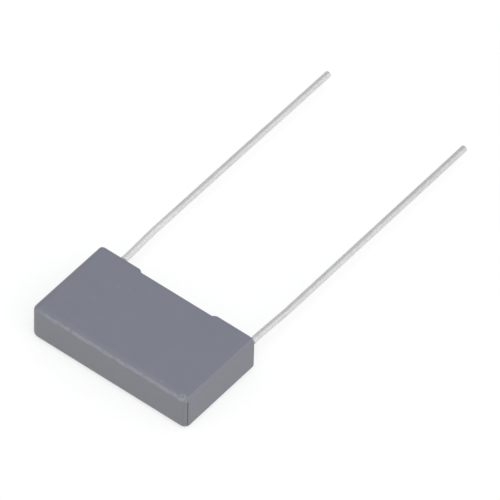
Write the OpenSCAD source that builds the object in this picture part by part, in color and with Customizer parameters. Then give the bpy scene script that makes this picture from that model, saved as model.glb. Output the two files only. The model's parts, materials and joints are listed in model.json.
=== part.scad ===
// Box-type polyester film capacitor with two long wire leads, lying on a broad face.
// X runs along the case, Y from its closed end towards the leads, Z up from the surface it lies on.
// The origin is the middle of the broad face that it lies on. All sizes are in millimetres.

/* [Leads] */
// Distance between the axes of the two leads past their bends
lead_pitch = 15; // [7.5:0.5:27.5]
// Diameter of the tinned wire
lead_d = 0.65; // [0.5:0.05:0.8]
// Length of the left lead beyond the feet
left_lead_free = 30.5; // [12:0.1:40]
// Length of the right lead beyond the feet
right_lead_free = 31.1; // [12:0.1:40]
// Rounding of each cut wire end
lead_tip_r = 0.1; // [0.05:0.01:0.2]
// Distance by which a slight double bend sets each lead outwards
lead_set = 0.15; // [0.05:0.05:0.3]
// Angle of each of the two bends
bend_angle = 2.2; // [2:0.1:5]
// Radius of each bend, along the axis of the wire
bend_r = 1; // [0.5:0.1:1.5]
// Straight length of each lead from the feet to its first bend
bend_start = 1.8; // [0.5:0.1:3]

/* [Case] */
// Height of the case from its closed end to the feet
case_height = 9.5; // [8:0.5:16]
// Thickness of the case across its broad faces
case_thickness = 4; // [3.5:0.25:8]
// Wall of the two broad faces
broad_wall = 0.5; // [0.4:0.05:0.7]
// Wall of the two narrow ends
end_wall = 0.5; // [0.4:0.05:0.8]
// Wall of the closed end
closed_wall = 0.6; // [0.4:0.05:0.9]
// Rounding of the edges that run from the closed end to the rim
side_edge_r = 0.7; // [0.4:0.05:1]
// Rounding of the edges around the closed end
closed_edge_r = 0.65; // [0.2:0.05:0.65]
// Rounding of every corner inside the case
cavity_edge_r = 0.3; // [0.2:0.05:0.5]

/* [Feet] */
// Length of the left foot along the case
left_foot_length = 4.5; // [2:0.1:5]
// Length of the right foot along the case
right_foot_length = 4.1; // [2:0.1:5]
// Height of the feet above the rim between them
foot_height = 0.35; // [0.2:0.05:0.6]
// Run of the ramp from the foot down to that rim
foot_ramp = 0.5; // [0.2:0.1:1]
// Rounding of the feet's outer edges
foot_edge_r = 0.2; // [0.05:0.05:0.2]

/* [Potting resin] */
// Depth of the resin's surface below the rim between the feet
resin_depth = 0.35; // [0.3:0.05:0.6]
// Height to which the resin creeps up the walls
meniscus_h = 0.2; // [0.1:0.05:0.25]
// Thickness of the crept resin at its upper edge
meniscus_land = 0.05; // [0.03:0.01:0.08]
// Height and width of the cone of resin around each lead
collar = 0.25; // [0.15:0.05:0.3]
// Resin between the winding and a broad wall
side_gap = 0.2; // [0.1:0.05:0.4]
// Resin between the winding and the closed end
closed_gap = 0.5; // [0.2:0.1:1]
// Resin that covers the winding on the lead side
resin_cover = 0.8; // [0.4:0.1:1.2]
// Resin between a lead and the end wall, with the element in the middle
end_gap = 0.575; // [0.5:0.025:1]

/* [Element] */
// Thickness of the sprayed metal on each end of the winding
spray_thickness = 0.4; // [0.2:0.05:0.6]
// Depth to which the weld sinks a lead into the sprayed metal
weld_depth = 0.1; // [0.05:0.01:0.15]
// Distance by which a lead stops short of the winding's far edge
tail_gap = 1.2; // [0.5:0.1:2]
// Distance by which the element and its leads sit off the middle of the case
element_shift = 0.3; // [0:0.05:0.4]

/* [Hidden] */
$fn = 96;

plastic_grey = [0.49, 0.51, 0.55];
resin_grey = [0.33, 0.33, 0.34];
film_silver = [0.79, 0.78, 0.74];
spray_grey = [0.62, 0.63, 0.65];
tin_bright = [0.82, 0.82, 0.81];

// The case, measured outwards from where the leads are welded on
lead_r = lead_d / 2;
weld_pitch = lead_pitch - 2 * lead_set;
case_length = weld_pitch + lead_d + 2 * (end_gap + end_wall);
mid_z = case_thickness / 2;
closed_y = -case_height / 2;
seat_y = case_height / 2;
rim_y = seat_y - foot_height;

// The space inside the case
cavity_length = case_length - 2 * end_wall;
cavity_thickness = case_thickness - 2 * broad_wall;
cavity_y = closed_y + closed_wall;
resin_y = rim_y - resin_depth;

// The element: the winding with its two sprayed ends
winding_thickness = cavity_thickness - 2 * side_gap;
winding_y = cavity_y + closed_gap;
winding_height = resin_y - resin_cover - winding_y;
element_length = weld_pitch - lead_d + 2 * weld_depth;
winding_length = element_length - 2 * spray_thickness;
lead_tail_y = winding_y + tail_gap;

// The slanted stretch of a lead between its two bends, and the length along Y of all three
slant_length = (lead_set - 2 * bend_r * (1 - cos(bend_angle))) / sin(bend_angle);
bend_run = slant_length * cos(bend_angle) + 2 * bend_r * sin(bend_angle);

// Distance by which a cut runs past the face that it opens
cut_past = 1;

// Corner of radius r that is cut off a strip w wide
module corner_cut(w, r) {
    difference() {
        translate([w - r, 0]) square(r);
        translate([w - r, r]) circle(r);
    }
}

// Upright strip w wide and h high. Its lower outer corner is rounded by r, and its upper one by upper_r.
module strip(w, h, r, upper_r = 0) {
    difference() {
        square([w, h]);
        corner_cut(w, r);
        if (upper_r > 0) translate([0, h]) mirror([0, 1]) corner_cut(w, upper_r);
    }
}

// Solid box that stands on its closed end. One strip turns around each corner of a core and runs along each
// of its sides. The edges around the closed end are rounded no more than the corners, and those around the
// open end by open_r.
module tub(length, thickness, depth, side_r, closed_r, open_r = 0) {
    core_x = length - 2 * side_r;
    core_y = thickness - 2 * side_r;
    edge_r = min(closed_r, side_r);
    translate([-core_x / 2, -core_y / 2, 0]) cube([core_x, core_y, depth]);
    for (turn = [0:90:270]) {
        x = sign(cos(turn + 45));
        y = sign(sin(turn + 45));
        side = turn % 180 == 0 ? core_x : core_y;
        translate([x * core_x / 2, y * core_y / 2, 0]) rotate(turn) {
            rotate_extrude(angle = 90) strip(side_r, depth, edge_r, open_r);
            translate([-side, 0, 0]) rotate([90, 0, 90]) linear_extrude(side)
                strip(side_r, depth, edge_r, open_r);
        }
    }
}

// Lays a standing shape down, so that its foot is at y and its top points to the leads
module lay(y, x = 0) {
    translate([x, y, mid_z]) rotate([-90, 0, 0]) children();
}

// Stretch of the pressed winding's round-ended section, centred on x
module pressed_section(x, length) {
    flat = winding_height - winding_thickness;
    translate([x - length / 2, winding_y + winding_height / 2, mid_z]) rotate([90, 0, 90])
        linear_extrude(length) {
            square([flat, winding_thickness], center = true);
            for (end = [-1, 1]) translate([end * flat / 2, 0]) circle(d = winding_thickness);
        }
}

// Straight stretch of wire along Y, with its children laid on at its end
module straight(length) {
    rotate([-90, 0, 0]) cylinder(h = length, r = lead_r);
    translate([0, length, 0]) children();
}

// Arc of wire that turns by angle from Y towards X, with its children laid on at its end
module bend(angle) {
    centre_x = sign(angle) * bend_r;
    translate([centre_x, 0, 0]) {
        rotate_extrude(start = angle > 0 ? 180 : 0, angle = -angle) translate([bend_r, 0]) circle(lead_r);
        rotate(-angle) translate([-centre_x, 0, 0]) children();
    }
}

// Last stretch of wire along Y, with its cut end rounded
module cut_end(length) {
    translate([0, length, 0]) rotate([90, 0, 0]) rotate_extrude() strip(lead_r, length, lead_tip_r);
}

// Wire from its welded tail to its cut tip. The left one mirrors the right one.
module wire(side, free) {
    translate([element_shift, lead_tail_y, mid_z]) mirror([side < 0 ? 1 : 0, 0, 0])
        translate([weld_pitch / 2, 0, 0])
            straight(seat_y + bend_start - lead_tail_y) bend(bend_angle) straight(slant_length)
                bend(-bend_angle) cut_end(free - bend_start - bend_run);
}

module wires() {
    wire(-1, left_lead_free);
    wire(1, right_lead_free);
}

// Layer of sprayed metal on one end of the winding, grooved where its lead is welded in
module spray(side) {
    difference() {
        pressed_section(element_shift + side * (winding_length + spray_thickness) / 2, spray_thickness);
        wires();
    }
}

// Gap between the feet, open through both broad walls
module foot_cut() {
    left = left_foot_length - case_length / 2;
    right = case_length / 2 - right_foot_length;
    translate([0, 0, -cut_past]) linear_extrude(case_thickness + 2 * cut_past)
        polygon([[left + foot_ramp, rim_y], [right - foot_ramp, rim_y],
                 [right + foot_ramp, seat_y + foot_height], [left - foot_ramp, seat_y + foot_height]]);
}

// Resin poured to its level, drawn a little way up the walls
module poured_resin() {
    difference() {
        lay(cavity_y) tub(cavity_length, cavity_thickness, resin_y + meniscus_h - cavity_y,
                          cavity_edge_r, cavity_edge_r);
        lay(resin_y) tub(cavity_length - 2 * meniscus_land, cavity_thickness - 2 * meniscus_land,
                         meniscus_h + cut_past, max(cavity_edge_r - meniscus_land, meniscus_h), meniscus_h);
    }
}

// Cones of resin that the leads draw up, cut off at the end walls
module collars() {
    intersection() {
        for (side = [-1, 1]) lay(resin_y, element_shift + side * weld_pitch / 2)
            cylinder(h = collar, r1 = lead_r + collar, r2 = lead_r + meniscus_land);
        translate([-cavity_length / 2, resin_y, 0]) cube([cavity_length, collar, case_thickness]);
    }
}

module case() {
    color(plastic_grey) difference() {
        lay(closed_y) tub(case_length, case_thickness, case_height, side_edge_r, closed_edge_r, foot_edge_r);
        lay(cavity_y) tub(cavity_length, cavity_thickness, seat_y + cut_past - cavity_y,
                          cavity_edge_r, cavity_edge_r);
        foot_cut();
    }
}

module potting_resin() {
    color(resin_grey) difference() {
        union() {
            poured_resin();
            collars();
        }
        pressed_section(element_shift, element_length);
        wires();
    }
}

module film_winding() {
    color(film_silver) pressed_section(element_shift, winding_length);
}

module end_spray_left() {
    color(spray_grey) spray(-1);
}

module end_spray_right() {
    color(spray_grey) spray(1);
}

module lead_left() {
    color(tin_bright) wire(-1, left_lead_free);
}

module lead_right() {
    color(tin_bright) wire(1, right_lead_free);
}

case();
potting_resin();
film_winding();
end_spray_left();
end_spray_right();
lead_left();
lead_right();
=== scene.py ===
# %% [markdown]
# # A film capacitor on a white table
# This lesson dresses a small grey capacitor that lies on its side, with two long wires. Its seven solids
# come ready made from the CAD model, so the work here is the view, the light and the finishes. The solids
# could be drawn again in Blender, but then two models would have to agree. Here every piece stays where
# the CAD model put it, and only its surface is new.

# %% Load the solids
import json
import math

import bpy
from mathutils import Matrix, Vector

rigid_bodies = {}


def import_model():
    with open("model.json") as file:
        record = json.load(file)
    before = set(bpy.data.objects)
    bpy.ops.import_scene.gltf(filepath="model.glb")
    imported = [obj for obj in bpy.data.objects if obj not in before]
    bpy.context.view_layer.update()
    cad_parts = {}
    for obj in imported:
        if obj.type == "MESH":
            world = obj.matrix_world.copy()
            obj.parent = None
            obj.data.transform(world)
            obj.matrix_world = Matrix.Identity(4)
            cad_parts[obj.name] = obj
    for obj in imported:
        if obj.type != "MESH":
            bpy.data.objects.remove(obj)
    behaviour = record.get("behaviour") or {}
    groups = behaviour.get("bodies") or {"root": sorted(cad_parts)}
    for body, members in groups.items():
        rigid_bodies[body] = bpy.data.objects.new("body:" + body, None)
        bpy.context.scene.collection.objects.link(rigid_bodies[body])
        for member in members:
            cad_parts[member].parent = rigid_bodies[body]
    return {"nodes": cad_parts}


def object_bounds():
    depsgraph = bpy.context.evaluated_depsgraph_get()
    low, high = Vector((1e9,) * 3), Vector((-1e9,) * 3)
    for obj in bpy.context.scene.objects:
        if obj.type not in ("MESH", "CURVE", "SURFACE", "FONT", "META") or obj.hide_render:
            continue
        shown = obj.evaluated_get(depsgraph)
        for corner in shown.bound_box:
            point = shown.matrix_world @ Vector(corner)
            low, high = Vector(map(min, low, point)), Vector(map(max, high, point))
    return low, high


for leftover in list(bpy.data.objects):
    bpy.data.objects.remove(leftover)
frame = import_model()
cad_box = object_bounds()
MM = 0.001
print("solids:", ", ".join(sorted(frame["nodes"])))
print("size in mm:", [round(side / MM, 2) for side in cad_box[1] - cad_box[0]])

# %% [markdown]
# ## The view
# The picture was taken from in front, a little to the right and well above the table, with a long lens
# from far away, so that the sides of the box stay almost parallel. A camera could be turned by eye, but
# here its angles were fitted to the corners of the box and to both wires. The camera looks at a point near
# the middle of the box and then slides sideways and up, so that the wires come into the picture too.

# %% Camera
IMAGE_PIXELS = 500
PIXELS_PER_MM = 11.45
AZIMUTH = math.radians(37.5)
ELEVATION = math.radians(47.71)
ROLL = math.radians(1.65)
DISTANCE = 750 * MM
SLIDE_RIGHT = 9.21 * MM
SLIDE_UP = 7.48 * MM
LOOK_AT = Vector((0, 0.25, 2)) * MM

level_back = Vector((math.sin(AZIMUTH), -math.cos(AZIMUTH), 0))
level_right = Vector((math.cos(AZIMUTH), math.sin(AZIMUTH), 0))
back = math.cos(ELEVATION) * level_back + Vector((0, 0, math.sin(ELEVATION)))
right = math.cos(ROLL) * level_right + math.sin(ROLL) * back.cross(level_right)
up = back.cross(right)
eye = LOOK_AT + DISTANCE * back + SLIDE_RIGHT * right + SLIDE_UP * up

camera = bpy.data.objects.new("camera", bpy.data.cameras.new("camera"))
bpy.context.scene.collection.objects.link(camera)
camera.matrix_world = Matrix.Translation(eye) @ Matrix((right, up, back)).transposed().to_4x4()
camera.data.lens = camera.data.sensor_width * PIXELS_PER_MM * DISTANCE / MM / IMAGE_PIXELS
bpy.context.scene.camera = camera
print("lens in mm:", round(camera.data.lens))

# %% [markdown]
# ## Sums with shader nodes
# A finish is a sum of small effects: a grain, a cloudy tone, a rubbed edge. Each could be wired node by
# node, but the wiring soon hides the idea. So one small class stands for what a node gives out, and
# Python's own signs add the nodes: `1 - rub` becomes a Math node. Vectors get Vector Math instead, and
# colours get Mix, because a Math node would turn a colour grey. A Mix node has sockets for several kinds
# of data under the same names, so those for colours are picked by their numbers.

# %% What a node gives out
MIX_FACTOR = 0
MIX_FIRST = 6
MIX_SECOND = 7
MIX_RESULT = 2


class Field:
    """A value, vector, colour or shader that a node gives out."""

    def __init__(self, tree, socket=None):
        self.tree = tree
        self.socket = socket

    def feed(self, made, sockets):
        """Sets or links the sockets of a node."""
        for name, value in sockets.items():
            if isinstance(value, Field):
                self.tree.links.new(value.socket, made.inputs[name])
            else:
                made.inputs[name].default_value = value

    def node(self, kind, settings=None, sockets=None, out=0):
        """Adds a node: its settings come first, then its sockets."""
        made = self.tree.nodes.new(kind)
        for name, value in (settings or {}).items():
            setattr(made, name, value)
        self.feed(made, sockets or {})
        return Field(self.tree, made.outputs[out] if made.outputs else None)

    def other(self, out):
        """Another thing that the same node gives out."""
        return Field(self.tree, self.socket.node.outputs[out])

    def joined(self, operation, *terms):
        """Math on values, Vector Math on vectors."""
        kind = "ShaderNodeVectorMath" if self.socket.type == "VECTOR" else "ShaderNodeMath"
        return self.node(kind, {"operation": operation}, dict(enumerate(terms)))

    def __add__(self, other):
        return self.joined("ADD", self, other)

    def __radd__(self, other):
        return self.joined("ADD", other, self)

    def __sub__(self, other):
        return self.joined("SUBTRACT", self, other)

    def __rsub__(self, other):
        return self.joined("SUBTRACT", other, self)

    def __mul__(self, other):
        return self.joined("MULTIPLY", self, other)

    def __rmul__(self, other):
        return self.joined("MULTIPLY", other, self)

    def __abs__(self):
        return self.joined("ABSOLUTE", self)

    def parts(self):
        """The x, y and z of a vector."""
        split = self.node("ShaderNodeSeparateXYZ", sockets={"Vector": self})
        return [split.other(axis) for axis in "XYZ"]

    def away(self, point):
        """How far this place is from a point."""
        return self.node("ShaderNodeVectorMath", {"operation": "DISTANCE"}, {0: self, 1: point}, "Value")

    def rise(self, low, high):
        """0 below low, 1 above high, and a smooth step between them."""
        return self.node("ShaderNodeMapRange", {"interpolation_type": "SMOOTHSTEP"},
                         {"Value": self, "From Min": low, "From Max": high})

    def mix(self, first, second):
        """The first colour where this value is 0, the second where it is 1."""
        return self.node("ShaderNodeMix", {"data_type": "RGBA"},
                         {MIX_FACTOR: self, MIX_FIRST: first, MIX_SECOND: second}, MIX_RESULT)

    def noise(self, scale, detail=2, rough=0.5):
        """Cloudy noise at this place, with so many lumps to a millimetre."""
        return self.node("ShaderNodeTexNoise",
                         sockets={"Vector": self, "Scale": scale, "Detail": detail, "Roughness": rough})

    def bump(self, height_mm):
        """The surface tilted as if this value were a height."""
        return self.node("ShaderNodeBump", sockets={"Height": self, "Distance": height_mm * MM})


print("a field has:", ", ".join(name for name, made in vars(Field).items() if callable(made)))

# %% [markdown]
# ## The table
# The photo has a pure white ground. A very bright lamp could bleach the table, but it would bleach the
# wires too. So the table is a plain white board, and where the camera or a reflection looks at it, it
# glows a little to make up what the board itself does not send back. The shadow of the box stays, because
# only a part of the white is glow.

# %% Table top
TABLE_SIDE = 4.0

half = TABLE_SIDE / 2
table_corners = [(-half, -half, 0), (half, -half, 0), (half, half, 0), (-half, half, 0)]
table_mesh = bpy.data.meshes.new("table_top")
table_mesh.from_pydata(table_corners, [], [(0, 1, 2, 3)])
table_top = bpy.data.objects.new("table_top", table_mesh)
bpy.context.scene.collection.objects.link(table_top)
table_top.location.z = cad_box[0].z
print("table:", TABLE_SIDE, "m square")

# %% White of the table
BOARD_WHITE = (0.77, 0.74, 0.62, 1)
SEEN_WHITE = (0.31, 0.31, 0.292, 1)
GLOW_WHITE = (0.7, 0.7, 0.7, 1)

board = bpy.data.materials.new("white_board")
board.use_nodes = True
board.node_tree.nodes.clear()
start = Field(board.node_tree)
lit = start.node("ShaderNodeBsdfDiffuse", sockets={"Color": BOARD_WHITE})
partly_lit = start.node("ShaderNodeBsdfDiffuse", sockets={"Color": SEEN_WHITE})
glow = start.node("ShaderNodeEmission", sockets={"Color": GLOW_WHITE, "Strength": 1})
glowing = start.node("ShaderNodeAddShader", sockets={0: partly_lit, 1: glow})
by_camera = start.node("ShaderNodeLightPath", out="Is Camera Ray")
seen = by_camera + by_camera.other("Is Glossy Ray") + by_camera.other("Is Transmission Ray")
surface = start.node("ShaderNodeMixShader", sockets={0: seen, 1: lit, 2: glowing})
start.node("ShaderNodeOutputMaterial", sockets={"Surface": surface})
table_mesh.materials.append(board)
print(board.name, "with", len(board.node_tree.nodes), "nodes")

# %% [markdown]
# ## The light
# The shading in the photo is soft. The end face is paler than the top, the upper edge at the front
# carries a narrow pale line, and each wire is darker towards the left. One big lamp above would flatten
# all this. So an even grey sky fills the shadows, and four soft boxes shape the rest. A large one to the
# right lights the end, one overhead lights the top, a dim one behind on the right follows the wires, and
# a small one stands low at the front left, where the rounded upper edge mirrors it as the pale line.

# %% Sky
SKY_GREY = (0.63, 0.64, 0.68, 1)

bpy.context.scene.view_settings.view_transform = "Standard"
sky = bpy.data.worlds.new("sky")
sky.use_nodes = True
sky.node_tree.nodes["Background"].inputs["Color"].default_value = SKY_GREY
bpy.context.scene.world = sky
print("sky:", SKY_GREY[:3])

# %% Soft boxes
# Watts to a square metre of lamp at a brightness of 1
LAMP_POWER = 4


def soft_box(name, towards, distance, width, height, brightness, colour):
    """A flat lamp that faces the capacitor from this direction and looks this bright in a mirror."""
    lamp = bpy.data.lights.new(name, "AREA")
    lamp.shape = "RECTANGLE"
    lamp.size = width
    lamp.size_y = height
    lamp.color = colour
    lamp.energy = LAMP_POWER * width * height * brightness
    holder = bpy.data.objects.new(name, lamp)
    bpy.context.scene.collection.objects.link(holder)
    towards = Vector(towards).normalized()
    holder.location = distance * towards
    holder.rotation_euler = towards.to_track_quat("Z", "Y").to_euler()


soft_box("right_box", towards=(0.77, -0.25, 0.60), distance=0.7, width=0.6, height=0.5,
         brightness=1.14, colour=(1, 0.96, 0.98))
soft_box("top_box", towards=(0.2, -0.15, 0.95), distance=0.6, width=0.36, height=0.36,
         brightness=2.0, colour=(0.87, 0.91, 1))
soft_box("back_right_box", towards=(0.62, 0.50, 0.45), distance=0.7, width=0.5, height=0.4,
         brightness=0.40, colour=(1, 1, 0.96))
soft_box("front_left_box", towards=(-0.50, -0.86, 0.13), distance=0.6, width=0.32, height=0.17,
         brightness=3.12, colour=(1, 0.97, 0.80))

# %% [markdown]
# ## Starting a finish
# Every finish below starts in the same way, from where a point of the surface is, in millimetres. A
# painted texture would need the solids unwrapped. Noise in space needs nothing and has no seams, and it
# keeps its size on every piece. Marks that belong to one place are measured from the solids, so that they
# move along if the CAD model changes.

# %% Start and end of a finish
PER_METRE = (1 / MM, 1 / MM, 1 / MM)
# Two opposite corners in the list of a box's eight
LOWEST = 0
HIGHEST = 6


def corners_in_mm(piece):
    """The lowest and the highest corner of a solid's box."""
    box = frame["nodes"][piece].bound_box
    return Vector(box[LOWEST]) / MM, Vector(box[HIGHEST]) / MM


def start_finish(name):
    """A new material, and the place on the piece in millimetres."""
    material = bpy.data.materials.new(name)
    material.use_nodes = True
    place = Field(material.node_tree).node("ShaderNodeTexCoord", out="Object") * PER_METRE
    return material, place


def end_finish(material, sockets, *pieces):
    """Feeds the material's shader and puts the material on these solids."""
    shader = material.node_tree.nodes["Principled BSDF"]
    Field(material.node_tree).feed(shader, sockets)
    for piece in pieces:
        frame["nodes"][piece].material_slots[0].material = material
    print(material.name, "on", ", ".join(pieces), "with", len(material.node_tree.nodes), "nodes")


case_low, case_high = corners_in_mm("case")
print("case from", case_low.to_tuple(2), "to", case_high.to_tuple(2))

# %% [markdown]
# ## Moulded case
# The case is moulded from a filled grey plastic in a spark-eroded mould, which leaves an even, very fine
# grain. The grain could be modelled, but its lumps are less than a tenth of a millimetre wide, so a bump
# does it. The tone drifts a little over each face, and a few pale grains of filler show.

# %% Grain of the case
plastic, place = start_finish("case_plastic")
grain = place.noise(12, detail=3, rough=0.6)
drift = place.noise(0.45)
filler = place.noise(1.3, detail=1).rise(0.72, 0.80)
print("nodes so far:", len(plastic.node_tree.nodes))

# %% [markdown]
# ## Painted shade and light on the edges
# A fine dark line of painted shade runs down each upright corner. The rounded edges beside the two ends
# have a faint band of painted shade and a paler band of painted light, which make the change from the tone
# of the top to the tone of the end sharper. Such marks could be painted on by hand, but they follow the
# edges, and a rounded edge turns through every direction between its two faces. So the way that the
# surface faces tells where each mark lies.

# %% Painted shade line and bands
LINE_FACING = 0.838

facing = place.node("ShaderNodeNewGeometry", out="Normal")
across, along, upward = [abs(part) for part in facing.parts()]
# Painted shade: a fine dark line down each upright corner, where the rounded corner faces one set way.
painted_corner_shade = 1 - abs(across - LINE_FACING).rise(0.015, 0.065)
painted_corner_shade = painted_corner_shade * (1 - upward.rise(0.15, 0.4)) * (1 - along.rise(0.7, 0.8))
# Painted shade and painted light: a faint dark band and a paler band on the rounded edges beside the ends.
painted_shade_band = across.rise(0.15, 0.38) * (1 - across.rise(0.46, 0.62)) * upward.rise(0.4, 0.6)
painted_light_band = across.rise(0.48, 0.64) * (upward + along).rise(0.03, 0.2)
print("nodes so far:", len(plastic.node_tree.nodes))

# %% [markdown]
# ## Rubbed edges, painted highlight and a pale patch
# A thin pale line runs along the edges of the closed end and of the feet. It is partly rubbed by handling
# and partly a painted highlight, and it fades out towards the left end. An even line would look printed,
# so noise makes it waver and breaks it up. Near one top corner sits a small pale patch, a ball around a
# point near the corner, eaten away by a finer noise.

# %% Rubbed and painted edge highlight, and pale patch
RUB_HIGHLIGHT_FACING = 0.55
RUB_HIGHLIGHT_WAVER = 0.6
RUB_HIGHLIGHT_STARTS = case_low.x + 0.05
RUB_HIGHLIGHT_FULL = case_low.x + 1.55
PALE_PATCH_CENTRE = (case_high.x - 0.65, case_low.y + 0.2, case_high.z - 0.2)

# Partly rubbing, partly painted highlight: a thin pale line along the edges of the closed end and of the
# feet.
waver = RUB_HIGHLIGHT_WAVER * (place.noise(1.4) - 0.5)
rub_and_highlight = (1 - abs(upward + waver - RUB_HIGHLIGHT_FACING).rise(0.08, 0.34)) * along.rise(0.5, 0.75)
rub_and_highlight = rub_and_highlight * place.noise(2).rise(0.22, 0.57) * place.parts()[0].rise(RUB_HIGHLIGHT_STARTS, RUB_HIGHLIGHT_FULL)
# A small pale patch near one top corner, broken up by a finer noise.
pale_patch = (1 - place.away(PALE_PATCH_CENTRE).rise(0.15, 0.55)) * place.noise(6).rise(0.48, 0.6)
print("scuff at", [round(part, 2) for part in PALE_PATCH_CENTRE])

# %% [markdown]
# ## Colours of the case
# The marks are laid over the grey like coats of thin paint, each with its own colour and only where its
# mark is. Mixing all of them at once would be shorter, but in layers each can be changed alone.

# %% Case plastic
CASE_DARK = (0.172, 0.178, 0.208, 1)
CASE_PALE = (0.183, 0.189, 0.220, 1)
FILLER_PALE = (0.33, 0.34, 0.37, 1)
SHADE_BAND_DARK = (0.165, 0.170, 0.189, 1)
LIGHT_BAND_PALE = (0.24, 0.245, 0.262, 1)
RUB_AND_HIGHLIGHT_PALE = (0.245, 0.252, 0.283, 1)
CORNER_SHADE_DARK = (0.075, 0.078, 0.085, 1)
PALE_PATCH_TONE = (0.31, 0.315, 0.34, 1)
CASE_RELIEF = 0.012

# Among these coats, the bands on the edges and the corner line are painted shade and painted light, and
# the pale edge line is partly rubbing and partly painted highlight.
coats = [
    (0.12 * filler, FILLER_PALE),
    (painted_shade_band, SHADE_BAND_DARK),
    (0.25 * painted_light_band, LIGHT_BAND_PALE),
    (0.8 * rub_and_highlight, RUB_AND_HIGHLIGHT_PALE),
    (painted_corner_shade, CORNER_SHADE_DARK),
    (0.8 * pale_patch, PALE_PATCH_TONE),
]
tone = drift.mix(CASE_DARK, CASE_PALE)
for mark, colour in coats:
    tone = mark.mix(tone, colour)
end_finish(plastic, {
    "Base Color": tone,
    "Roughness": 0.38 + 0.1 * grain,
    "Normal": (grain + 0.3 * drift - 0.4 * rub_and_highlight).bump(CASE_RELIEF),
}, "case")

# %% [markdown]
# ## Cast resin
# The open side of the case is filled with dark epoxy. It is poured, so its skin is smooth and slightly
# wavy, with a dull haze and a few round pinholes where air came up. A flat dark colour would look like a
# painted plate, so the haze and the pinholes change its gloss as well. Each pinhole is the small ball
# around one point of a Voronoi pattern, so it is round and has its own size where the surface cuts it.
# Inside it the colour is painted almost black, as painted shade in the hole.

# %% Potting resin
RESIN_DARK = (0.070, 0.071, 0.076, 1)
RESIN_HAZE = (0.105, 0.106, 0.112, 1)
PINHOLE_SHADE_BLACK = (0.02, 0.02, 0.022, 1)
RESIN_RELIEF = 0.03

resin, place = start_finish("potting_epoxy")
wave = place.noise(0.5, detail=1)
haze = place.noise(1.4, detail=4, rough=0.6)
bubble = place.node("ShaderNodeTexVoronoi", sockets={"Vector": place, "Scale": 1})
pinhole = 1 - bubble.rise(0.09, 0.13)
# Painted shade: inside each pinhole the colour is almost black.
tone = pinhole.mix(haze.mix(RESIN_DARK, RESIN_HAZE), PINHOLE_SHADE_BLACK)
end_finish(resin, {
    "Base Color": tone,
    "Roughness": 0.28 + 0.22 * haze + 0.2 * pinhole,
    "Normal": (wave + 0.1 * haze - 0.4 * pinhole).bump(RESIN_RELIEF),
}, "potting_resin")

# %% [markdown]
# ## Wound film
# The element is a roll of clear film with a metal skin, pressed flat while hot. Each turn could be a
# sheet of its own, but it is far too thin to model. Fine bands across its section stand for the turns
# that show, and a broad silky shine goes along it.

# %% Metallised film
FILM_DARK = (0.52, 0.51, 0.45, 1)
FILM_PALE = (0.64, 0.63, 0.57, 1)
ALONG_ROLL = (0.05, 1, 1)
FILM_RELIEF = 0.006

film, place = start_finish("metallised_film")
turns = (place * ALONG_ROLL).noise(12)
press = place.noise(0.6)
end_finish(film, {
    "Base Color": turns.mix(FILM_DARK, FILM_PALE),
    "Metallic": 0.55,
    "Roughness": 0.25 + 0.15 * press + 0.1 * turns,
    "Normal": (turns + press).bump(FILM_RELIEF),
}, "film_winding")

# %% [markdown]
# ## Sprayed metal
# Molten zinc is sprayed on both ends of the roll to join all the film edges. It lands as flattened drops,
# so the surface is coarse and dull. The tops of the drops are painted paler and the hollows between them
# darker, as painted light and shade. The drops could be raised in the mesh, but the solid stays as it is,
# and two sizes of noise give the drops and the grit on them.

# %% Sprayed zinc
# Painted shade in the hollows between the drops, and painted light on their tops
ZINC_HOLLOW_SHADE = (0.27, 0.28, 0.30, 1)
ZINC_TOP_LIGHT = (0.45, 0.46, 0.48, 1)
ZINC_RELIEF = 0.02

spray, place = start_finish("sprayed_metal")
drops = place.noise(5, detail=1)
grit = place.noise(18, detail=3, rough=0.7)
tops = (0.7 * drops + 0.3 * grit).rise(0.4, 0.65)
end_finish(spray, {
    "Base Color": tops.mix(ZINC_HOLLOW_SHADE, ZINC_TOP_LIGHT),
    "Metallic": 0.85,
    "Roughness": 0.7 - 0.2 * tops,
    "Normal": tops.bump(ZINC_RELIEF),
}, "end_spray_left", "end_spray_right")

# %% [markdown]
# ## Tinned wire
# The leads are copper wire dipped in tin. Tin runs along the wire before it sets and leaves long faint
# streaks, soft dull patches and a fine speckle. A perfect mirror would look like chrome, so the shine
# changes along the streaks, and the noise is stretched along the wire to make them long.

# %% Runs of tin
STREAK_STRETCH = (1, 0.06, 1)
PATCH_STRETCH = (1, 0.5, 1)

tin, place = start_finish("tinned_wire")
streak = (place * STREAK_STRETCH).noise(7)
patch = (place * PATCH_STRETCH).noise(1.6, detail=3, rough=0.6)
speckle = place.noise(6, detail=3, rough=0.65).rise(0.3, 0.7)
print("nodes so far:", len(tin.node_tree.nodes))

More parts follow.
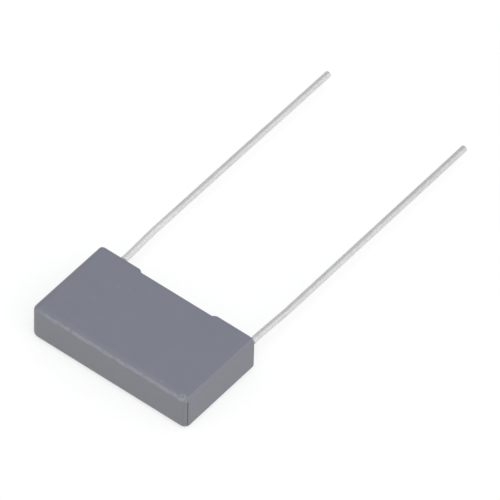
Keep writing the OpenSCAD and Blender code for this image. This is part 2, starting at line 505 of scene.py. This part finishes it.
# %% [markdown]
# ## Stretches of the wires
# At its root each wire is grey and not metal, a little farther on the left one. The left wire is paler for
# the next few millimetres, and the right one is darker towards its end, as painted shade. Each wire could
# have a material of its own, but one that asks how far along and on which side a point lies serves both.

# %% Skin, pale stretch and dark end
GREY_ROOT_REACH = case_high.y + 1
GREY_ROOT_FADE = 0.2
GREY_ROOT_SLANT = 0.014
GREY_ROOT_WAVER = 0.5
PALE_MIDDLE = case_high.y + 2.75
RIGHT_END = corners_in_mm("lead_right")[1].y
SHADE_END_STARTS = RIGHT_END - 15
SHADE_END_FULL = RIGHT_END - 5

sideways, outwards, _ = place.parts()
on_right = sideways.rise(-1, 1)
grey_root_edge = outwards + GREY_ROOT_SLANT * sideways + GREY_ROOT_WAVER * (place.noise(3.2, detail=3) - 0.5)
# Grey and not metal at each wire's root.
grey_root = 1 - grey_root_edge.rise(GREY_ROOT_REACH, GREY_ROOT_REACH + GREY_ROOT_FADE)
pale = (1 - on_right) * (1 - abs(outwards - PALE_MIDDLE).rise(3, 7.5))
# Painted shade: the right wire darker towards its end.
painted_shade_end = on_right * outwards.rise(SHADE_END_STARTS, SHADE_END_FULL)
print("skin to about y =", round(GREY_ROOT_REACH, 2), "and right wire to y =", round(RIGHT_END, 2))

# %% [markdown]
# ## Shine of the wires
# All of these change how pale and how dull the tin is. At the grey root the tin's colour is covered, and
# there the surface is no longer a metal.

# %% Tin
TIN_DULL = (0.60, 0.592, 0.575, 1)
TIN_BRIGHT = (0.86, 0.85, 0.825, 1)
ROOT_GREY = (0.24, 0.245, 0.255, 1)
TIN_RELIEF = 0.004

shine = 0.4 * patch + 0.3 * streak + 0.6 * speckle + 0.16 * pale - 0.16 * painted_shade_end - 0.15
end_finish(tin, {
    "Base Color": grey_root.mix(shine.mix(TIN_DULL, TIN_BRIGHT), ROOT_GREY),
    "Metallic": 1 - grey_root,
    "Roughness": 0.3 + 0.14 * patch + 0.08 * streak + 0.1 * grey_root + 0.13 * pale,
    "Normal": (streak + patch + 0.5 * speckle).bump(TIN_RELIEF),
}, "lead_left", "lead_right")

# %% [markdown]
# ## End
# Every solid now has its finish, and each stays where the CAD model put it.
